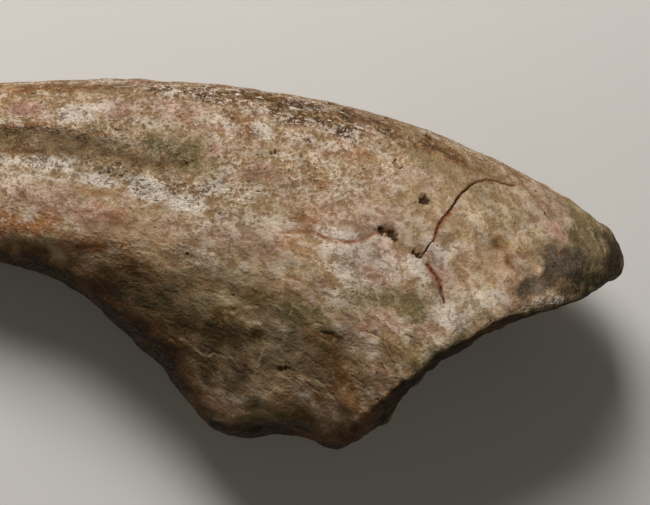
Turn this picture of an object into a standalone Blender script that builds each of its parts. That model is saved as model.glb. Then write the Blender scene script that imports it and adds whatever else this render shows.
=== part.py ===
"""A fossil claw bone from the foot of a tyrannosaur, one solid piece, lying on its side.

The claw is drawn in its own plane: x runs from the tip (-) to the joint (+), y towards the dorsal
edge, and z sideways. Cross-sections, called rings, follow one another from the tip to the joint,
and the joint facet closes the big end. The finished claw is then laid on its side on the ground.
"""

import math

import bmesh
import bpy
from mathutils import Matrix, Vector

MM = 0.001

# Edges of the claw seen from the side: station, x and y in millimetres. Station 0 is the tip and
# station 23 is the rim of the joint facet. A ring runs from one edge to the other at one station.
DORSAL_EDGE = (
    (0, -93.3, 4.0),
    (1, -90.9, 7.6),
    (2, -86.3, 12.6),
    (3, -79.0, 18.4),
    (5, -60.2, 28.0),
    (7, -38.4, 33.5),
    (9, -15.6, 35.4),
    (11, 7.2, 35.2),
    (13, 30.0, 32.6),
    (15, 51.9, 27.7),
    (17, 70.9, 19.9),
    (19, 87.0, 10.4),
    (20, 92.5, 6.3),
    (21, 95.2, 1.2),
    (22, 93.9, -3.2),
    (23, 87.0, -4.3),
)
VENTRAL_EDGE = (
    (0, -92.7, 1.4),
    (1, -89.3, 0.3),
    (3, -74.9, 3.4),
    (5, -56.1, 4.9),
    (7, -36.1, 3.4),
    (8, -25.1, 0.9),
    (9, -15.6, -1.9),
    (10, -7.6, -6.5),
    (11, -1.3, -13.0),
    (12, 6.9, -20.2),
    (13, 12.6, -28.6),
    (14, 17.2, -32.4),
    (15, 22.8, -33.1),
    (16, 28.5, -32.6),
    (17, 32.7, -33.0),
    (18, 36.0, -34.4),
    (19, 39.3, -35.7),
    (21, 43.0, -34.6),
    (23, 47.6, -31.0),
)
LAST_STATION = 23

# How wide each ring is, and where. The widest place is a share of the way from the dorsal edge to
# the ventral edge. A power of 2 rounds that side of the ring as an ellipse, less makes it more
# pointed and more makes it boxier.
HALF_WIDTH = (
    (0, 1.6),
    (1, 3.2),
    (3, 6.6),
    (5, 10.0),
    (8, 13.9),
    (12, 18.9),
    (15, 20.8),
    (20, 22.4),
    (23, 21.4),
)
WIDEST_PLACE = ((0, 0.50), (4, 0.62), (9, 0.64), (13, 0.46), (17, 0.50), (23, 0.58))
DORSAL_POWER = ((0, 2.0), (8, 1.9), (14, 2.1), (19, 1.8), (23, 1.75))
VENTRAL_POWER = ((0, 2.0), (5, 2.5), (9, 2.3), (13, 1.75), (17, 1.9), (23, 2.1))

# The groove that held the claw sheath, one on each side.
GROOVE_DEPTH = (
    (0, 0.0),
    (2, 0.4),
    (4, 1.4),
    (7, 2.4),
    (9, 2.5),
    (10, 2.1),
    (11, 1.2),
    (12, 0.4),
    (13, 0.0),
    (23, 0.0),
)
GROOVE_PLACE = ((0, 0.45), (5, 0.38), (8, 0.32), (10, 0.28), (12, 0.29), (23, 0.29))
GROOVE_STEEP_SIDE = 0.07
GROOVE_GENTLE_SIDE = 0.14

# The flank falls away to a shallow hollow above the knob and the lip under the base.
LOWER_HOLLOW_DEPTH = (
    (0, 0.0),
    (9, 0.0),
    (11, 0.9),
    (13, 1.9),
    (15, 2.1),
    (17, 1.4),
    (19, 0.5),
    (21, 0.0),
    (23, 0.0),
)
LOWER_HOLLOW_PLACE = 0.8
LOWER_HOLLOW_SPREAD = 0.11

# The joint facet, seen from the side. Its two rims and the low keel between them bow towards the
# tip: share of the way down, then millimetres. The rings near the joint bow with the rims.
RIM_LINE = (
    (0.0, 0.3),
    (0.08, 1.4),
    (0.16, 0.4),
    (0.31, 5.0),
    (0.47, 6.5),
    (0.65, 6.7),
    (0.77, 5.6),
    (0.9, 4.2),
    (1.0, 0.6),
)
KEEL_LINE = (
    (0.0, 0.4),
    (0.08, 1.4),
    (0.16, -0.3),
    (0.28, 1.3),
    (0.37, 2.2),
    (0.65, 2.9),
    (0.8, 2.5),
    (0.88, 1.5),
    (1.0, -1.2),
)
BOW_OF_RING = ((0, 0.0), (15, 0.0), (17, 0.2), (19, 0.6), (21, 1.05), (22, 1.12), (23, 1.0))
HOLLOW_DEPTH = 3.0
FACET_RINGS = (0.88, 0.68, 0.46, 0.26, 0.09)
KEEL_REACH = 0.9

# The claw isn't quite even: the side that it lies on is flatter, and its tip bends to that side.
FAR_SIDE_WIDTH = 0.92
FAR_SIDE_EXTRA_POWER = 0.5
SIDE_BEND = 4.0

# How the claw lies: turned to rest on its flatter side, where a small flat is worn.
REST_PITCH = math.radians(-4.3)
REST_ROLL = math.radians(0.2)
FLAT_DEPTH = 0.3

RING_STEP = 0.64
POINTS_PER_SIDE = 13

BONE_COLOUR = (0.33, 0.23, 0.15, 1.0)
BONE_ROUGHNESS = 0.75


def read_keys(keys, place):
    """The values at one place of a smooth curve through the keys. A key is its place, then its values."""
    last = len(keys) - 1
    i = 0
    while i < last - 1 and place > keys[i + 1][0]:
        i += 1
    before, start, end, after = (keys[max(0, min(last, i + n))] for n in (-1, 0, 1, 2))
    span = end[0] - start[0]
    share = (place - start[0]) / span
    values = []
    for n in range(1, len(start)):
        slope_in = (end[n] - before[n]) / (end[0] - before[0])
        slope_out = (after[n] - start[n]) / (after[0] - start[0])
        values.append(
            start[n] * (2 * share**3 - 3 * share**2 + 1)
            + end[n] * (3 * share**2 - 2 * share**3)
            + slope_in * span * (share**3 - 2 * share**2 + share)
            + slope_out * span * (share**3 - share**2)
        )
    return values[0] if len(values) == 1 else tuple(values)


def side_of_ring(station, side=1.0, extra_power=0.0):
    """Points down one side of a ring, dorsal edge first: share of the way down, then half width."""
    half_width = read_keys(HALF_WIDTH, station)
    widest = read_keys(WIDEST_PLACE, station)
    groove_depth = read_keys(GROOVE_DEPTH, station)
    groove_place = read_keys(GROOVE_PLACE, station)
    hollow_depth = read_keys(LOWER_HOLLOW_DEPTH, station)
    points = []
    for i in range(POINTS_PER_SIDE + 1):
        angle = math.pi * i / POINTS_PER_SIDE
        if angle < math.pi / 2:
            reach, power = widest, read_keys(DORSAL_POWER, station) + extra_power
        else:
            reach, power = 1 - widest, read_keys(VENTRAL_POWER, station) + extra_power
        height = abs(math.cos(angle)) ** (2 / power) * math.copysign(reach, math.cos(angle))
        down = widest - height
        width = half_width * max(0.0, math.sin(angle)) ** (2 / power)
        off = down - groove_place
        spread = GROOVE_STEEP_SIDE if off < 0 else GROOVE_GENTLE_SIDE
        depth = groove_depth * math.exp(-((off / spread) ** 2))
        depth += hollow_depth * math.exp(-(((down - LOWER_HOLLOW_PLACE) / LOWER_HOLLOW_SPREAD) ** 2))
        width -= depth * width / half_width
        points.append((down, side * width))
    return points


def across(dorsal, ventral, down, bow):
    """The point a share of the way down from the dorsal to the ventral point, pushed tipwards by bow."""
    chord = ventral - dorsal
    tipwards = Vector((chord.y, -chord.x)).normalized()
    return dorsal + chord * down + tipwards * bow


def side_shift(station):
    """How far the middle of a ring lies to the side, from the claw's slight sideways bend."""
    return -SIDE_BEND * (1 - station / LAST_STATION) ** 2


def ring_of(station, bow_at, shrink=1.0, reach=1.0):
    """The closed ring of points at a station: down the near side and back up the far side."""
    dorsal = Vector(read_keys(DORSAL_EDGE, station))
    ventral = Vector(read_keys(VENTRAL_EDGE, station))
    near_side = side_of_ring(station)
    far_side = side_of_ring(station, -FAR_SIDE_WIDTH, FAR_SIDE_EXTRA_POWER)
    ring = []
    for down, width in near_side + far_side[-2:0:-1]:
        down = 0.5 + (down - 0.5) * reach
        place = across(dorsal, ventral, down, bow_at(down))
        ring.append(Vector((place.x, place.y, side_shift(station) + width * shrink)))
    return ring


def body_rings():
    """The rings from the tip to the rim of the joint facet."""
    count = round(LAST_STATION / RING_STEP)
    rings = []
    for i in range(count + 1):
        station = LAST_STATION * i / count
        share = read_keys(BOW_OF_RING, station)
        rings.append(ring_of(station, lambda down: share * read_keys(RIM_LINE, down)))
    return rings


def facet_bow(down, shrink):
    """How far the facet bows tipwards: the keel at shrink 0, the rim at 1 and a hollow between."""
    keel = read_keys(KEEL_LINE, down)
    rim = read_keys(RIM_LINE, down)
    hollow = HOLLOW_DEPTH * math.sin(math.pi * shrink) * math.sin(math.pi * down)
    return keel + (rim - keel) * shrink**2 + hollow


def facet_rings():
    """The rings inside the joint facet, each narrower than the last, ending beside the keel."""
    rings = []
    for shrink in FACET_RINGS:
        reach = KEEL_REACH + (1 - KEEL_REACH) * shrink
        rings.append(ring_of(LAST_STATION, lambda down: facet_bow(down, shrink), shrink, reach))
    return rings


def add_loop(bm, points):
    """Adds a closed loop of edges through the points, given in millimetres."""
    verts = [bm.verts.new(point * MM) for point in points]
    return verts, [bm.edges.new((verts[i - 1], verts[i])) for i in range(len(verts))]


def close_end(bm, verts):
    """Closes an end of the claw with faces from one side of its last ring to the other."""
    for i in range(POINTS_PER_SIDE):
        corners = [verts[i], verts[i + 1], verts[-(i + 1)], verts[-i]]
        bm.faces.new(list(dict.fromkeys(corners)))


def bone_material():
    """Fossil bone: tan, dull and stony."""
    material = bpy.data.materials.new("fossil_bone")
    material.use_nodes = True
    shader = material.node_tree.nodes["Principled BSDF"]
    shader.inputs["Base Color"].default_value = BONE_COLOUR
    shader.inputs["Roughness"].default_value = BONE_ROUGHNESS
    shader.inputs["Metallic"].default_value = 0.0
    return material


def claw_in_its_plane():
    """Lofts the claw from its rings, in its own plane, and smooths it."""
    bm = bmesh.new()
    loops = [add_loop(bm, ring) for ring in body_rings() + facet_rings()]
    for (_, edges), (_, next_edges) in zip(loops, loops[1:]):
        bmesh.ops.bridge_loops(bm, edges=edges + next_edges)
    close_end(bm, loops[0][0])
    close_end(bm, loops[-1][0])
    bmesh.ops.recalc_face_normals(bm, faces=bm.faces)
    mesh = bpy.data.meshes.new("claw")
    bm.to_mesh(mesh)
    bm.free()
    claw = bpy.data.objects.new("claw", mesh)
    bpy.context.scene.collection.objects.link(claw)
    smooth = claw.modifiers.new("smooth", "SUBSURF")
    smooth.levels = smooth.render_levels = 1
    return claw


def middle_and_bottom(verts):
    """The middle of the points' box in x and y, and its lowest z."""
    lows = [min(vert.co[axis] for vert in verts) for axis in range(3)]
    highs = [max(vert.co[axis] for vert in verts) for axis in range(2)]
    return Vector(((lows[0] + highs[0]) / 2, (lows[1] + highs[1]) / 2, lows[2]))


def lay_down(claw):
    """Turns the claw onto its side over the origin and wears the flat that it rests on."""
    smoothed = claw.evaluated_get(bpy.context.evaluated_depsgraph_get())
    bm = bmesh.new()
    bm.from_mesh(smoothed.to_mesh())
    turn = Matrix.Rotation(REST_ROLL, 3, "X") @ Matrix.Rotation(REST_PITCH, 3, "Y")
    bmesh.ops.rotate(bm, verts=bm.verts, matrix=turn)
    lift = middle_and_bottom(bm.verts) + Vector((0, 0, FLAT_DEPTH * MM))
    bmesh.ops.translate(bm, verts=bm.verts, vec=-lift)
    everything = bm.verts[:] + bm.edges[:] + bm.faces[:]
    cut = bmesh.ops.bisect_plane(
        bm, geom=everything, plane_co=(0, 0, 0), plane_no=(0, 0, 1), clear_inner=True
    )
    edges = [part for part in cut["geom_cut"] if isinstance(part, bmesh.types.BMEdge)]
    bmesh.ops.edgeloop_fill(bm, edges=edges)
    bmesh.ops.recalc_face_normals(bm, faces=bm.faces)
    claw.modifiers.clear()
    bm.to_mesh(claw.data)
    bm.free()
    claw.data.shade_smooth()


def clear_scene():
    """Removes what the scene holds."""
    for obj in list(bpy.data.objects):
        bpy.data.objects.remove(obj, do_unlink=True)


clear_scene()
fossil = claw_in_its_plane()
lay_down(fossil)
fossil.data.materials.append(bone_material())
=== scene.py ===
"""A fossil claw bone from the foot of a tyrannosaur, dressed for a studio picture.

The bone lies on its side. Most places on it are given in the claw's own plane, in millimetres: x runs
from the tip (-) to the joint (+), y towards the back of the claw and z out of its near side. Marks
that belong to this one specimen are given by the pixel of the 650 x 505 picture where they show.
"""

import math

import bmesh
import bpy
import numpy as np
from bpy.props import FloatProperty, FloatVectorProperty, PointerProperty
from mathutils import Matrix, Vector, noise
from mathutils.bvhtree import BVHTree


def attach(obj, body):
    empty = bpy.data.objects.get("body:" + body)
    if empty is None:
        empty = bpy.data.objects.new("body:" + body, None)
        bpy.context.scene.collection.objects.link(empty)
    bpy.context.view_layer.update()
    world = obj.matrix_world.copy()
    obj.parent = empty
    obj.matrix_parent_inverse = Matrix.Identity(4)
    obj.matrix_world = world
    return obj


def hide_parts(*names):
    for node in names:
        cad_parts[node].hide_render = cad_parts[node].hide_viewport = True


bl_info = {
    "name": "Fossil Claw",
    "version": (1, 0, 0),
    "blender": (4, 5, 0),
    "location": "3D View > Sidebar > Fossil Claw",
    "description": "Builds the worn surface of a fossil claw bone and a small studio round it",
    "category": "Object",
}

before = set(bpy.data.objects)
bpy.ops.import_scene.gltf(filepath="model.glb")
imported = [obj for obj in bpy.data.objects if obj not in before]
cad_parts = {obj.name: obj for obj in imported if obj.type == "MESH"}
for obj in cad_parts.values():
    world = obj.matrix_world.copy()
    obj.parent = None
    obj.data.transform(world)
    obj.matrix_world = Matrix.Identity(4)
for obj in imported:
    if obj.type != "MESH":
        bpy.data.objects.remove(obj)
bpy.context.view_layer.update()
MM = 0.001

# How the claw's own plane lies in the frame: it is pitched and rolled, then moved.
REST_TURN = Matrix.Rotation(math.radians(0.2), 3, "X") @ Matrix.Rotation(math.radians(-4.3), 3, "Y")
REST_MOVE = Vector((-0.79, -0.13, 16.72))

# The picture: its middle in the claw's plane, and the lens that looks at it.
PICTURE_SIZE = (650, 505)
PICTURE_MIDDLE = (37.26, 2.32)
MM_PER_PIXEL = 0.19
LENS = 150.0
SENSOR = 36.0
CAMERA_HEIGHT = PICTURE_SIZE[0] * MM_PER_PIXEL * LENS / SENSOR

# The stage: the floor in metres, and the lamps in millimetres of the claw's plane.
FLOOR_RADIUS = 4.0
FLOOR_DROP = 0.0001
LAMP_AIM = (30, 0, 0)
KEY_PLACE = (-50, 452, 415)
KEY_SIZE = 240
FILL_PLACE = (150, -500, 500)
FILL_SIZE = 600
LAMP_COLOUR = (1.0, 0.955, 0.89)
SURROUND_COLOUR = (1.0, 0.87, 0.68, 1.0)

# In millimetres: how far the tip bends to the hidden side, half the width of the strip where one side's
# marks give way to the other's, and the height above the floor where the relief has its full strength.
SIDE_BEND = 4.0
SIDE_BLEND = 3.0
REST_FADE = 1.2

# Which way the joint facet faces in the claw's plane.
FACET_FACING = (0.55, -0.83, 0.0)

# The mesh, in metres: how close two points are when they are merged.
MERGE_DISTANCE = 0.00001

# How far round a line or pit the faces are divided, the first time and the second, in millimetres.
REFINED_REACHES = (1.1, 0.6)

# Rings across the claw, from the tip to the joint: x and y of the back edge, then of the under edge.
RINGS = (
    (-93, 4, -93, 1),
    (-86, 13, -82, 2),
    (-70, 24, -66, 4),
    (-49, 31, -46, 4),
    (-27, 35, -25, 1),
    (-16, 35, -16, -2),
    (7, 35, -1, -13),
    (30, 33, 13, -29),
    (52, 28, 23, -33),
    (71, 20, 33, -33),
    (87, 10, 39, -36),
    (95, 1, 43, -35),
    (87, -5, 48, -31),
)

# The bone's fibres run from ring to ring of a second set, which leaves the knob under the base out,
# and turn down towards the joint.
FIBRE_RINGS = (
    *RINGS[:6],
    (7, 35, 3, -4),
    (30, 33, 24, -12),
    (52, 28, 42, -20),
    (71, 20, 55, -26),
    (87, 10, 66, -30),
    (95, 1, 72, -34),
    (99, -8, 78, -38),
)
FIBRE_RING_STEP = 20.0
FIBRE_RING_HEIGHT = 45.0
FIBRE_TURN_START = 6.0
FIBRE_TURN = 0.9

# The groove on each side: where its middle lies down each ring, and how sharp its upper lip is.
GROOVE_LINE = ((0, 0.45), (3, 0.36), (5, 0.32), (6, 0.32), (12, 0.30))
GROOVE_LIP = ((0, 0.0), (1, 0.2), (3, 0.8), (5, 1.0), (5.6, 0.8), (6.3, 0.2), (7, 0.0), (12, 0.0))

# Where the grainy back of the claw ends and its smoother lower part starts, down each ring, and how
# smooth that part is.
WORN_LINE = (
    (0, 0.45),
    (4, 0.5),
    (5.5, 0.48),
    (6.5, 0.42),
    (7, 0.36),
    (7.8, 0.3),
    (8.4, 0.12),
    (9, 0.0),
    (9.8, -0.1),
    (12, -0.3),
)
WORN_SHARE = ((0, 0.5), (5.5, 0.6), (6.5, 0.85), (7.5, 1.0), (8.4, 0.8), (12, 0.9))

# How far the surface faces down, at each ring, where the brown and the black under the claw start:
# painted shade on the surfaces that face away from the lamp, with some dark stain.
BROWN_START = ((0, 0.4), (4.6, 0.4), (5.4, 0.27), (6.0, 0.08), (6.8, 0.12), (7.6, 0.32), (12, 0.34))
BLACK_START = (
    (0, 0.68),
    (4.3, 0.68),
    (5.0, 0.64),
    (5.4, 0.6),
    (5.8, 0.4),
    (6.2, 0.33),
    (6.6, 0.38),
    (7.0, 0.55),
    (7.6, 0.7),
    (12, 0.72),
)

# Cracks, crevices and raised lines, by the pixels that they pass through. LINES gives each its half
# width and its depth in millimetres, negative where it is raised, and the mask that it fills.
CRACK_TOP = ((516, 184), (503, 181), (488, 180), (477, 182))
CRACK_MIDDLE = ((477, 182), (470, 185), (462, 193), (456, 200), (453, 206), (449, 212))
CRACK_WAIST = ((449, 212), (442, 219), (439, 225), (437, 232), (434, 240))
CRACK_FOOT = ((434, 240), (429, 245), (426, 250), (421, 257))
CRACK_HOOK = ((421, 257), (417, 256), (414, 252))
CRACK_FRINGE = ((449, 213), (440, 224), (434, 240))
RED_CRACK = ((427, 265), (433, 273), (438, 281), (441, 288), (441, 294), (443, 298), (444, 303))
RED_FRINGE = ((427, 264), (434, 276), (440, 287))
FAINT_CRACK = (
    (283, 232),
    (297, 231),
    (308, 232),
    (314, 233),
    (324, 238),
    (333, 242),
    (346, 242),
    (362, 240),
    (376, 233),
    (385, 230),
)
CREVICES = (
    ((361, 294), (369, 297), (376, 302)),
    ((313, 321), (324, 324)),
    ((321, 333), (331, 335), (341, 340)),
    ((370, 332), (380, 337)),
    ((352, 376), (358, 380), (365, 387)),
    ((382, 364), (385, 370)),
    ((391, 361), (397, 365)),
    ((370, 394), (378, 399)),
    ((306, 382), (312, 386), (320, 392)),
    ((327, 385), (338, 394)),
    ((171, 337), (178, 346)),
    ((240, 362), (246, 368)),
    ((352, 343), (359, 347)),
    ((404, 335), (412, 338)),
)
FINE_RIDGES = (
    ((180, 338), (190, 345), (200, 353), (206, 357), (214, 355), (230, 358), (241, 368)),
    ((265, 345), (261, 356), (259, 364), (253, 378)),
    ((290, 313), (293, 304), (298, 300)),
    ((236, 310), (246, 308), (259, 307)),
    ((316, 381), (328, 387), (338, 394)),
    ((356, 386), (366, 392), (376, 397)),
    ((379, 149), (386, 154), (391, 157), (398, 162)),
    ((410, 171), (418, 170), (425, 173)),
    ((380, 181), (388, 185), (402, 186)),
    ((455, 239), (460, 246), (463, 253)),
    ((384, 319), (392, 326), (400, 331)),
)
CHIPS = (
    ((286, 335), (283, 341)),
    ((279, 347), (282, 352)),
    ((231, 313), (237, 311)),
    ((328, 394), (335, 398)),
    ((214, 419), (227, 420)),
    ((240, 402), (252, 403)),
    ((358, 389), (364, 393)),
    ((295, 395), (306, 394)),
    ((225, 391), (222, 397)),
    ((321, 424), (326, 425)),
    ((351, 417), (357, 419)),
    ((345, 388), (348, 384)),
    ((333, 373), (334, 376)),
    ((256, 321), (261, 325)),
    ((208, 395), (214, 399)),
)
GROOVE_EDGE = ((-60, 160), (0, 171), (45, 178), (75, 184), (100, 190), (150, 199), (190, 211))
LINES = (
    (CRACK_TOP, 0.14, 0.25, "crack"),
    (CRACK_MIDDLE, 0.2, 0.6, "crack"),
    (CRACK_WAIST, 0.12, 0.2, "crack"),
    (CRACK_WAIST, 0.24, 0.0, "red"),
    (CRACK_FOOT, 0.18, 0.45, "crack"),
    (CRACK_HOOK, 0.3, 0.5, "crack"),
    (CRACK_FRINGE, 0.55, 0.0, "rusty"),
    (CRACK_TOP, 0.5, 0.0, "rusty"),
    (CRACK_MIDDLE, 0.4, 0.0, "rusty"),
    (RED_CRACK, 0.26, 0.4, "red"),
    (RED_FRINGE, 0.8, 0.0, "rusty"),
    (FAINT_CRACK, 0.5, 0.2, "rusty"),
    (GROOVE_EDGE, 0.45, -0.3, "ridge"),
    *((crevice, 0.15, 0.22, "pit") for crevice in CREVICES),
    *((raised, 0.38, -0.22, "ridge") for raised in FINE_RIDGES),
    *((chip, 0.5, -0.25, "ridge") for chip in CHIPS),
)

# How strongly the crevices fill the mask that they share with the pits.
CREVICE_STRENGTH = 0.6

# How lines waver and pits fray: over how many millimetres, and by how much.
WIDE_WAVER = (2.6, 0.3)
FINE_WAVER = (0.8, 0.1)
PIT_FRAY = (0.7, 0.5)

# Pits, by pixel, with radius and depth in millimetres.
PITS = (
    (424, 200, 1.0, 0.9),
    (382, 230, 0.75, 0.7),
    (387, 231, 0.5, 0.4),
    (391, 234, 0.8, 0.8),
    (395, 238, 0.6, 0.6),
    (414, 252, 0.4, 0.6),
    (271, 153, 0.3, 0.5),
    (275, 152, 0.34, 0.6),
    (279, 151, 0.25, 0.4),
    (240, 150, 0.28, 0.5),
    (395, 160, 0.3, 0.4),
    (401, 167, 0.3, 0.5),
    (374, 119, 0.35, 0.5),
    (379, 121, 0.3, 0.4),
    (427, 135, 0.34, 0.5),
    (431, 137, 0.3, 0.4),
    (280, 370, 0.45, 0.22),
    (285, 368, 0.45, 0.22),
    (418, 256, 0.45, 0.4),
    (258, 191, 0.24, 0.4),
    (300, 107, 0.45, 0.5),
    (188, 254, 0.34, 0.4),
    (161, 158, 0.3, 0.5),
    (187, 161, 0.28, 0.4),
    (108, 172, 0.3, 0.4),
    (135, 190, 0.26, 0.4),
)

# Dents, and swellings where the depth is negative, by pixel: reach along and across in millimetres,
# the turn of the long way in degrees, and the depth in millimetres.
DENTS = (
    (540, 283, 6.0, 2.2, 20, 0.8),
    (596, 272, 6.0, 2.4, 8, 0.6),
    (562, 301, 4.5, 1.3, 26, -0.5),
    (520, 315, 4.0, 1.2, 22, -0.3),
    (275, 430, 7.0, 1.9, 0, 0.7),
    (236, 337, 9.0, 2.0, -6, 0.5),
    (320, 334, 5.0, 1.6, -14, 0.4),
    (120, 215, 14.0, 3.6, -8, -0.5),
    (228, 385, 6.0, 4.0, -20, -0.5),
    (345, 405, 6.0, 3.0, -50, -0.5),
    (400, 300, 8.0, 5.0, -35, -0.4),
    (450, 232, 3.4, 3.0, -45, -0.35),
    (487, 262, 4.0, 2.0, -55, 0.3),
    (509, 257, 1.8, 0.6, -62, 0.22),
    (483, 275, 2.0, 0.6, -62, 0.24),
    (474, 290, 2.2, 0.6, -60, 0.24),
    (492, 284, 2.0, 0.6, -60, 0.2),
    (498, 262, 1.6, 0.6, -50, 0.2),
    (476, 226, 1.4, 0.6, -60, 0.2),
    (437, 261, 2.4, 1.0, -40, -0.2),
    (456, 248, 2.0, 1.0, -60, -0.2),
    (385, 232, 3.0, 1.6, -20, 0.4),
    (230, 150, 8.0, 4.0, 0, 0.35),
    (70, 236, 22.0, 2.6, -4, -0.9),
    (150, 262, 7.0, 2.6, -22, -0.5),
)
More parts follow.
